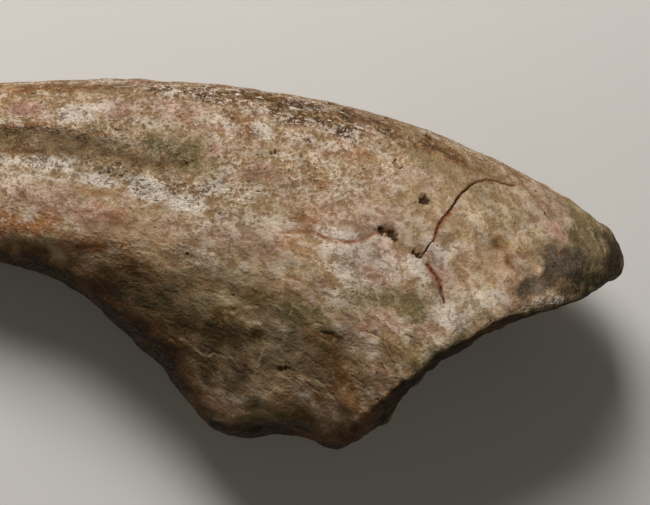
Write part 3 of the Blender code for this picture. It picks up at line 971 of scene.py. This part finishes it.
def add_own_hollows(surface, masks):
    """Paints shade on both sides: darkens the claw's underside, which faces away from the lamp, the
    groove under its lip and the joint facet, and marks the back edge, where the material paints shade.
    Also marks where the bone is worn.
    """
    rough = layered_noise(surface.points, 6.0, 3, 8.0)
    facing_down = -surface.normals[:, 1]
    # Painted shade in the groove, under its overhanging upper lip.
    groove_middle = read_keys(GROOVE_LINE, surface.ring)
    in_groove = np.exp(-(((surface.down - groove_middle) / 0.06) ** 2))
    groove = in_groove * read_keys(GROOVE_LIP, surface.ring)
    # Painted shade with some dark stain: brown, then black, where the surface faces down, away from the
    # lamp.
    brown = smooth_step(facing_down + 0.25 * rough - read_keys(BROWN_START, surface.ring), 0.0, 0.42)
    black = smooth_step(facing_down + 0.2 * rough - read_keys(BLACK_START, surface.ring), 0.0, 0.24)
    masks["umber"] = np.maximum.reduce([masks["umber"], 0.85 * brown, 0.55 * groove])
    masks["dark"] = np.maximum(masks["dark"], 0.95 * black)
    # The back edge, facing up, where the surface turns from the front light: the material paints shade
    # there.
    masks["crest"] = smooth_step(-facing_down + 0.3 * rough, 0.6, 0.9)
    masks["facet"] = surface.facet()
    below = surface.down - read_keys(WORN_LINE, surface.ring) + 0.03 * rough
    masks["worn"] = smooth_step(below, -0.08, 0.12) * read_keys(WORN_SHARE, surface.ring)


def dents(surface, picture):
    """The depth of the dents, less where it swells, at each point."""
    depth = np.zeros(len(surface.near))
    for px, py, along, across, turn, deep in DENTS:
        middle = np.array(picture.spot((px, py)))
        away = distance_to_blob(surface.points[:, :2], middle, along, across, turn)
        depth += deep * surface.near * np.exp(-((away / 0.8) ** 2))
    return depth


def drawn_out(fibre, stretch):
    """The fibre points, closer together along the fibres, so that noise on them is drawn out."""
    return fibre / (stretch, 1.0, 1.0)


def relief(surface, masks):
    """The height of the bone's lumps, fibres, pores and chips at each point, in millimetres."""
    fibre = surface.fibre_points()
    broad = BROAD_HEIGHT * layered_noise(surface.points, 20.0, 2, 1.0)
    worn = masks["worn"]
    lumps = COARSE_LUMP_HEIGHT * worn * layered_noise(drawn_out(fibre, 1.3), 5.0, 3, 2.0)
    lumps += FINE_LUMP_HEIGHT * worn * layered_noise(drawn_out(fibre, 1.4), 2.2, 2, 14.0)
    lumps += GRAIN_HEIGHT * (1 - worn) * layered_noise(surface.points, 3.4, 4, 19.0)
    streaks = STREAK_HEIGHT * worn * layered_noise(drawn_out(fibre, 1.7), 1.7, 2, 4.0)
    by_joint = worn * smooth_step(surface.ring, 8.4, 9.6)
    by_joint = by_joint * (1 - 0.8 * smooth_step(surface.ring, 10.2, 11.0))
    folds = FOLD_HEIGHT * by_joint * layered_noise(drawn_out(fibre, 2.0), 2.8, 2, 17.0)
    under = smooth_step(-surface.normals[:, 1], 0.15, 0.7)
    knobs = KNOB_HEIGHT * under * layered_noise(surface.points, 4.0, 3, 6.0)
    spongy = masks["spongy"]
    sponge = ridged_noise(drawn_out(fibre, 1.4), 2.6, 7.0) - RIDGED_MIDDLE
    flakes = ridged_noise(drawn_out(fibre, 1.7), 2.3, 27.0) - RIDGED_MIDDLE
    torn = SPONGE_HEIGHT * spongy * sponge
    torn += FLAKE_HEIGHT * masks["flaky"] * flakes
    below_lip = (surface.down - read_keys(GROOVE_LINE, surface.ring) + 0.075) * 38.0
    below_lip = below_lip + 0.6 * layered_noise(surface.points, 3.0, 2, 11.0)
    lip = -LIP_DEPTH * smooth_step(below_lip, 0.0, 0.9) * np.exp(-np.maximum(below_lip, 0) / 3.2)
    lip = lip * read_keys(GROOVE_LIP, surface.ring)
    pores = layered_noise(surface.points, 1.7, 2, 12.0)
    porous = np.clip(0.35 + 0.65 * spongy + 0.5 * masks["facet"], 0, 1)
    holes = -PORE_DEPTH * porous * smooth_step(pores, 0.34, 0.62)
    # The material paints shade in the relief's hollows and light on its lumps by this mask.
    painted_relief_shade = 0.7 * lumps + 1.4 * streaks + 0.6 * folds + torn + 0.3 * lip + holes + 0.5 * knobs
    masks["hollow"] = np.clip(painted_relief_shade, -1, 1)
    return broad + lumps + streaks + folds + knobs + torn + lip + holes


def write_masks(mesh, name, masks):
    """Stores three masks as one vector for each point. The attribute's name holds theirs."""
    values = np.stack([masks[kind] for kind in name.split("_")], axis=1).astype(np.float32)
    mesh.attributes.new(name, "FLOAT_VECTOR", "POINT").data.foreach_set("vector", values.ravel())


class NodeTree:
    """Adds nodes to a tree and links them, each call giving the socket that comes out."""

    def __init__(self, tree):
        self.tree = tree
        self.count = 0

    def put(self, kind, inputs, output=0, **settings):
        """A node of this kind. An input is a socket to link or a value to set."""
        node = self.tree.nodes.new(kind)
        node.location = (180 * (self.count % 12), -260 * (self.count // 12))
        self.count += 1
        for name, value in settings.items():
            setattr(node, name, value)
        for name, value in inputs.items():
            if isinstance(value, bpy.types.NodeSocket):
                self.tree.links.new(value, node.inputs[name])
            else:
                node.inputs[name].default_value = value
        return node.outputs[output]

    def attribute(self, name):
        """A named vector of the mesh's points."""
        kind = {"attribute_type": "GEOMETRY", "attribute_name": name}
        return self.put("ShaderNodeAttribute", {}, "Vector", **kind)

    def noise(self, vector, size, detail=2.0, roughness=0.5, twist=0.0, output="Fac"):
        """Noise about 0.5 with lumps this many millimetres across, where vector is in millimetres."""
        inputs = {"Vector": vector, "Scale": 1 / size, "Detail": detail, "Roughness": roughness}
        return self.put("ShaderNodeTexNoise", {**inputs, "Distortion": twist}, output)

    def dashes(self, vector, size):
        """Scattered short dark dashes on white."""
        inputs = {"Vector": vector, "Scale": 1 / size, "Detail": 2.0, "Offset": 1.0, "Gain": 2.0}
        return self.put("ShaderNodeTexNoise", inputs, noise_type="RIDGED_MULTIFRACTAL")

    def shift(self, vector, amounts):
        """A vector moved, so that another piece of a pattern shows."""
        return self.put("ShaderNodeVectorMath", {0: vector, 1: amounts}, operation="ADD")

    def stretch(self, vector, amounts):
        """A vector scaled along its three ways."""
        return self.put("ShaderNodeVectorMath", {0: vector, 1: amounts}, operation="MULTIPLY")

    def split(self, vector):
        """The three numbers of a vector or colour."""
        return self.put("ShaderNodeSeparateXYZ", {"Vector": vector}).node.outputs

    def step(self, value, low, high, to_low=0.0, to_high=1.0, kind="SMOOTHSTEP"):
        """A value spread from low to high onto another range."""
        inputs = {"Value": value, "From Min": low, "From Max": high, "To Min": to_low, "To Max": to_high}
        return self.put("ShaderNodeMapRange", inputs, interpolation_type=kind)

    def math(self, operation, *values):
        """The values joined one after another by this operation."""
        total = values[0]
        for value in values[1:]:
            total = self.put("ShaderNodeMath", {0: total, 1: value}, operation=operation)
        return total

    def blend(self, share, a, b):
        """A number that goes from a to b."""
        return self.put("ShaderNodeMix", {"Factor": share, 2: a, 3: b}, data_type="FLOAT")

    def mix(self, share, a, b):
        """A colour that goes from a to b."""
        return self.put("ShaderNodeMix", {"Factor": share, 6: a, 7: b}, 2, data_type="RGBA")


def bone_material(looks):
    """Fossil bone: stained in patches, streaked along its fibres, flecked and pitted."""
    material = bpy.data.materials.new("fossil_bone")
    material.use_nodes = True
    links = material.node_tree.links
    shader = material.node_tree.nodes["Principled BSDF"]
    book = NodeTree(material.node_tree)
    masks = {}
    for triple in MASK_TRIPLES:
        masks.update(zip(triple.split("_"), book.split(book.attribute(triple))))

    def paint(name):
        """One of the bone's colours, as a colour socket takes it."""
        return (*getattr(looks, name), 1.0)

    place = book.stretch(book.put("ShaderNodeTexCoord", {}, "Object"), (1 / MM,) * 3)
    fibre = book.attribute("fibre")
    patches = book.split(book.noise(place, 12.0, 3.0, 0.5, 0.5, "Color"))
    blotches = book.split(book.noise(book.shift(place, (31.0, 7.0, 13.0)), 4.6, 3.0, 0.55, 0.6, "Color"))
    worn = masks["worn"]

    def by_wear(grainy_value, worn_value):
        """A value that goes from one on the grainy back to the other on the smoother lower part."""
        return book.step(worn, 0.0, 1.0, grainy_value, worn_value, kind="LINEAR")

    grains = book.noise(place, 2.2, 4.0, 0.65)
    specks = book.noise(book.shift(place, (3.0, 8.0, 5.0)), 0.75, 2.0, 0.65)
    strands = book.noise(book.stretch(fibre, (0.6, 1.0, 1.0)), 2.0, 3.0, 0.5, 0.5)
    dust = book.noise(place, 0.45, 1.0, 0.5)
    grainy_level = book.blend(0.5, grains, specks)
    worn_level = book.blend(0.25, book.blend(0.35, strands, grains), specks)
    worn_level = book.step(worn_level, 0.40, 0.60, 0.36, 0.64, kind="LINEAR")
    level = book.blend(worn, grainy_level, worn_level)
    ragged = book.step(grainy_level, 0.42, 0.58, -0.5, 0.5, kind="LINEAR")
    ragged = book.math("MULTIPLY", ragged, by_wear(1.0, 0.4))

    def stained(kind, pattern, low, high, most, tear=0.6):
        """A painted mask with its edges torn by the grain, and some of it everywhere."""
        torn_pattern = book.math("ADD", pattern, book.math("MULTIPLY", ragged, 0.06))
        loose = book.step(torn_pattern, low, high, 0.0, most)
        torn = book.step(book.math("ADD", masks[kind], book.math("MULTIPLY", ragged, tear)), 0.15, 0.85)
        torn = book.math("MULTIPLY", torn, book.step(masks[kind], 0.0, 0.8, kind="LINEAR"))
        return book.math("MAXIMUM", loose, torn)

    # The ground colour: tan with pink, greenish, rusty and brown patches.
    ground = book.mix(stained("pink", patches[0], 0.50, 0.62, 0.6), paint("tan"), paint("pink"))
    greenish = book.mix(book.step(masks["olive"], 0.3, 0.8), paint("buff"), paint("olive"))
    ground = book.mix(stained("olive", patches[1], 0.53, 0.66, 0.4), ground, greenish)
    ground = book.mix(stained("iron", blotches[0], 0.55, 0.68, 0.32), ground, paint("iron"))
    earth = book.mix(book.math("MULTIPLY", masks["olive"], 0.85), paint("umber"), paint("bronze"))
    ground = book.mix(stained("umber", blotches[1], 0.58, 0.70, 0.16), ground, earth)
    # Where the bone is stained, and where shade is painted under it, in its groove and by the joint.
    darkened = book.math("MAXIMUM", masks["umber"], masks["dark"], masks["grey"])
    clean = book.step(darkened, 0.2, 0.9, 1.0, 0.5)
    bright = book.mix(book.math("MULTIPLY", masks["pink"], 0.4), paint("pale"), paint("pink"))
    bright = book.mix(book.math("MULTIPLY", masks["olive"], 0.6), bright, paint("buff"))
    bright = book.mix(book.step(darkened, 0.05, 0.5), bright, paint("buff"))
    dulled = book.step(darkened, 0.2, 0.9, 1.0, 0.75)
    whitish = book.math("MULTIPLY", stained("pale", blotches[2], 0.54, 0.66, 0.32), dulled)
    ground = book.mix(whitish, ground, bright)
    greyed = stained("grey", blotches[0], 0.9, 1.0, 0.0, 1.3)
    ground = book.mix(book.math("MULTIPLY", greyed, 0.9), ground, paint("grey"))

    # Brown in the small hollows and pale on the crests, more so where the bone is spongy or grainy: the
    # grain's own colour, and with it painted shade in the hollows and painted light on the crests, as
    # the same pattern raises the bump.
    chalky = book.math("MULTIPLY", masks["pale"], by_wear(0.7, 0.15))
    crust = book.math("MAXIMUM", masks["spongy"], masks["flaky"], chalky)
    grainy = book.math("MAXIMUM", crust, by_wear(0.40, 0.0))

    def by_grain(smooth_value, grainy_value):
        """A value that goes from one to the other as the surface gets grainier."""
        return book.step(grainy, 0.0, 0.9, smooth_value, grainy_value)

    lows = book.math("MULTIPLY", book.step(level, 0.49, 0.43), by_grain(0.42, 0.7))
    highs = book.math("MULTIPLY", book.step(level, 0.515, 0.575), by_grain(0.36, 0.8), dulled)
    # Painted shade on the back edge, and brown on the flaky band.
    crest_shade_and_flaky_brown = book.math("MAXIMUM", book.math("MULTIPLY", masks["crest"], 0.5), masks["flaky"])
    crest_shade_and_flaky_brown = book.math("MULTIPLY", crest_shade_and_flaky_brown, book.step(blotches[2], 0.40, 0.58, 0.9, 0.4))
    ground = book.mix(crest_shade_and_flaky_brown, ground, paint("umber"))
    crevices = book.math("MULTIPLY", masks["flaky"], book.step(grains, 0.51, 0.45, 0.0, 0.9))
    ground = book.mix(crevices, ground, paint("maroon"))
    ground = book.mix(lows, ground, earth)
    ground = book.mix(highs, ground, bright)
    ground = book.mix(book.math("MULTIPLY", greyed, 0.5), ground, paint("grey"))
    dusty = book.step(worn, 0.0, 1.0, 0.13, 0.1)
    dusty = book.math("MAXIMUM", dusty, book.math("MULTIPLY", darkened, 0.25))
    dusted = book.math("MULTIPLY", book.step(dust, 0.36, 0.64, -1.0, 1.0), dusty)
    # Random tone and dust, with painted shade in the relief's hollows and painted light on its lumps.
    shade = book.math(
        "MULTIPLY",
        book.step(patches[2], 0.38, 0.62, 0.93, 1.07),
        book.math("ADD", dusted, 1.0),
        book.step(masks["hollow"], -0.35, 0.25, 0.6, 1.18),
    )
    ground = book.put("ShaderNodeVectorMath", {0: ground, "Scale": shade}, operation="SCALE")

    # Whitish flecks on the grainy and pale places, dark pores between them, and white dashes where
    # the surface is flaky.
    fleck_pattern = book.noise(book.shift(place, (17.0, 2.0, 9.0)), 0.7, 2.0, 0.6, 0.4)
    fleck_low = by_grain(0.71, 0.53)
    flecks = book.step(fleck_pattern, fleck_low, book.math("ADD", fleck_low, 0.12), kind="LINEAR")
    flecks = book.math("MULTIPLY", flecks, 0.95, clean)
    ground = book.mix(flecks, ground, bright)
    pore_pattern = book.noise(book.shift(place, (5.0, 27.0, 1.0)), 0.95, 2.0, 0.6, 0.4)
    pores = book.step(pore_pattern, by_grain(0.70, 0.56), 0.70, kind="LINEAR")
    pores = book.math("MULTIPLY", pores, book.step(blotches[2], 0.42, 0.56, 0.8, 0.3))
    ground = book.mix(pores, ground, paint("dark"))
    dash_pattern = book.dashes(book.stretch(fibre, (0.55, 1.0, 1.0)), 0.95)
    dashes = book.math("MULTIPLY", book.step(dash_pattern, 0.56, 0.32, kind="LINEAR"), masks["flaky"])
    ground = book.mix(dashes, ground, paint("pale"))

    # Short dark cuts along the fibres of the smoother part.
    cut_pattern = book.dashes(book.stretch(fibre, (0.42, 1.0, 1.0)), 1.4)
    cuts = book.step(cut_pattern, 0.4, 0.16, kind="LINEAR")
    cuts = book.math("MULTIPLY", cuts, worn, book.step(blotches[0], 0.49, 0.57, 0.0, 0.9))
    ground = book.mix(cuts, ground, paint("umber"))

    # Dark mineral and painted shade under the claw and in its hollows, and a joint facet browned and
    # made darker, partly as painted shade, as it turns from the lamp.
    ground = book.mix(book.math("MULTIPLY", masks["facet"], 0.8), ground, earth)
    dark_and_shaded = book.math("MAXIMUM", masks["dark"], book.math("MULTIPLY", masks["facet"], 0.45))
    dark_stain_and_shade = book.math("MULTIPLY", dark_and_shaded, book.step(level, 0.42, 0.54, 0.7, 1.0))
    ground = book.mix(dark_stain_and_shade, ground, book.mix(masks["olive"], paint("dark"), paint("moss")))

    # Raised lines, cracks and pits.
    faded = book.step(grainy_level, 0.43, 0.55, 0.4, 1.0)
    ridge = book.math("MULTIPLY", book.step(masks["ridge"], 0.2, 1.0, 0.0, 0.6), faded)
    ground = book.mix(ridge, ground, bright)
    rust = book.math("MULTIPLY", book.step(masks["rusty"], 0.15, 0.95, 0.0, 0.95), faded)
    ground = book.mix(rust, ground, paint("rust"))
    reddened = book.math("MULTIPLY", book.step(masks["red"], 0.05, 0.6), faded)
    ground = book.mix(reddened, ground, paint("red"))
    ground = book.mix(book.step(masks["pit"], 0.02, 0.4, 0.0, 0.7), ground, paint("umber"))
    ground = book.mix(book.step(masks["crack"], 0.1, 0.6, 0.0, 0.7), ground, paint("umber"))
    gaping = book.step(masks["crack"], 0.3, 0.8)
    deep = book.math(
        "MAXIMUM",
        book.math("MULTIPLY", gaping, book.step(specks, 0.38, 0.52, 0.55, 1.0)),
        book.step(masks["pit"], 0.4, 0.9, 0.0, 0.85),
        book.step(masks["red"], 0.75, 1.0, 0.0, 0.6),
    )
    ground = book.mix(deep, ground, paint("crack"))
    links.new(ground, shader.inputs["Base Color"])

    # A dull surface, a little smoother where it is dark and worn.
    dull = book.step(specks, 0.4, 0.6, 0.66, 0.88)
    dull = book.math("SUBTRACT", dull, book.math("MULTIPLY", masks["dark"], 0.08))
    links.new(dull, shader.inputs["Roughness"])
    shader.inputs["Specular IOR Level"].default_value = 0.15

    # The finest relief, with its heights in millimetres.
    fine = book.math("MULTIPLY", book.math("SUBTRACT", specks, 0.5), by_grain(0.08, 0.6))
    height = book.math(
        "ADD",
        book.math("MULTIPLY", level, by_wear(0.9, 0.3)),
        book.math("MULTIPLY", strands, by_wear(0.0, 0.35)),
        fine,
        book.math("MULTIPLY", dust, 0.06),
        book.math("MULTIPLY", pores, -0.14),
        book.math("MULTIPLY", cuts, -0.06),
        book.math("MULTIPLY", flecks, 0.08),
        book.math("MULTIPLY", dashes, 0.1),
    )
    bump = {"Strength": looks.grit, "Distance": MM, "Height": height}
    links.new(book.put("ShaderNodeBump", bump, "Normal"), shader.inputs["Normal"])
    return material


class CLAW_OT_bone(bpy.types.Operator):
    """Builds the bone's worn surface over the plain claw and stains it"""

    bl_idname = "claw.bone"
    bl_label = "Bone"

    def execute(self, context):
        looks = context.scene.fossil_claw_bone
        dense = dense_copy(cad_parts["claw"])
        picture = Picture(dense)
        lines = [([picture.spot(p) for p in path], *rest) for path, *rest in LINES]
        pits = [(*picture.spot((px, py)), radius, cut) for px, py, radius, cut in PITS]
        refine_marks(dense, lines, pits)
        surface = Surface(dense)
        masks = stain_masks(surface, picture)
        add_own_hollows(surface, masks)
        heights = relief(surface, masks) - dents(surface, picture)
        heights = looks.relief * heights - carve_marks(surface, lines, pits, masks)
        heights *= smooth_step(surface.height, 0.0, REST_FADE) * MM
        for vert, height in zip(dense.verts, heights):
            vert.co += vert.normal * height
        mesh = bpy.data.meshes.new("claw_bone")
        dense.to_mesh(mesh)
        dense.free()
        mesh.shade_smooth()
        for triple in MASK_TRIPLES:
            write_masks(mesh, triple, masks)
        fibre = mesh.attributes.new("fibre", "FLOAT_VECTOR", "POINT")
        fibre.data.foreach_set("vector", surface.fibre_points().astype(np.float32).ravel())
        mesh.materials.append(bone_material(looks))
        bone = bpy.data.objects.new("claw_bone", mesh)
        context.scene.collection.objects.link(bone)
        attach(bone, "root")
        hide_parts("claw")
        return {"FINISHED"}


def floor_material(look):
    """A plain matt floor, faintly uneven."""
    material = bpy.data.materials.new("studio_floor")
    material.use_nodes = True
    shader = material.node_tree.nodes["Principled BSDF"]
    book = NodeTree(material.node_tree)
    place = book.put("ShaderNodeTexCoord", {}, "Object")
    cloud = book.put("ShaderNodeTexNoise", {"Vector": place, "Scale": 6.0, "Detail": 3.0})
    shaded = (*(0.95 * value for value in look), 1.0)
    tone = book.mix(book.step(cloud, 0.3, 0.7), shaded, (*look, 1.0))
    material.node_tree.links.new(tone, shader.inputs["Base Color"])
    shader.inputs["Roughness"].default_value = 0.9
    return material


def add_lamp(name, place, aim, size, power):
    """A square soft light, placed and aimed in the claw's plane, in millimetres."""
    lamp = bpy.data.lights.new(name, "AREA")
    lamp.size = size * MM
    lamp.energy = power
    lamp.color = LAMP_COLOUR
    holder = bpy.data.objects.new(name, lamp)
    start, end = to_frame(place), to_frame(aim)
    holder.location = start
    holder.rotation_euler = (end - start).to_track_quat("-Z", "Y").to_euler()
    bpy.context.scene.collection.objects.link(holder)


class CLAW_OT_stage(bpy.types.Operator):
    """Builds the floor, the soft lights and the camera"""

    bl_idname = "claw.stage"
    bl_label = "Stage"

    def execute(self, context):
        looks = context.scene.fossil_claw_stage
        bm = bmesh.new()
        bmesh.ops.create_circle(bm, cap_ends=True, segments=64, radius=FLOOR_RADIUS)
        bmesh.ops.translate(bm, verts=bm.verts, vec=(0, 0, -FLOOR_DROP))
        mesh = bpy.data.meshes.new("floor")
        bm.to_mesh(mesh)
        bm.free()
        mesh.materials.append(floor_material(looks.floor))
        floor = bpy.data.objects.new("floor", mesh)
        context.scene.collection.objects.link(floor)
        add_lamp("key_light", KEY_PLACE, LAMP_AIM, KEY_SIZE, looks.key)
        add_lamp("fill_light", FILL_PLACE, LAMP_AIM, FILL_SIZE, looks.fill)
        world = bpy.data.worlds.new("surround")
        world.use_nodes = True
        background = world.node_tree.nodes["Background"]
        background.inputs["Color"].default_value = SURROUND_COLOUR
        background.inputs["Strength"].default_value = looks.surround
        context.scene.world = world
        context.scene.view_settings.view_transform = "Standard"
        lens = bpy.data.cameras.new("camera")
        lens.lens = LENS
        lens.sensor_width = SENSOR
        camera = bpy.data.objects.new("camera", lens)
        place = to_frame((*PICTURE_MIDDLE, CAMERA_HEIGHT))
        camera.matrix_world = Matrix.Translation(place) @ REST_TURN.to_4x4()
        context.scene.collection.objects.link(camera)
        context.scene.camera = camera
        return {"FINISHED"}


class CLAW_PT_panel(bpy.types.Panel):
    """Lists the bone and the stage with what can be changed on them"""

    bl_idname = "CLAW_PT_panel"
    bl_label = "Fossil Claw"
    bl_space_type = "VIEW_3D"
    bl_region_type = "UI"
    bl_category = "Fossil Claw"

    def draw(self, context):
        for operator, settings in (
            ("claw.bone", context.scene.fossil_claw_bone),
            ("claw.stage", context.scene.fossil_claw_stage),
        ):
            box = self.layout.box()
            for name in settings.__annotations__:
                box.prop(settings, name)
            box.operator(operator)


CLASSES = (FossilClawBone, FossilClawStage, CLAW_OT_bone, CLAW_OT_stage, CLAW_PT_panel)


def register():
    for cls in CLASSES:
        bpy.utils.register_class(cls)
    bpy.types.Scene.fossil_claw_bone = PointerProperty(type=FossilClawBone)
    bpy.types.Scene.fossil_claw_stage = PointerProperty(type=FossilClawStage)


def unregister():
    del bpy.types.Scene.fossil_claw_bone
    del bpy.types.Scene.fossil_claw_stage
    for cls in reversed(CLASSES):
        bpy.utils.unregister_class(cls)


def main():
    register()
    bpy.ops.claw.bone()
    bpy.ops.claw.stage()


if __name__ == "__main__":
    main()
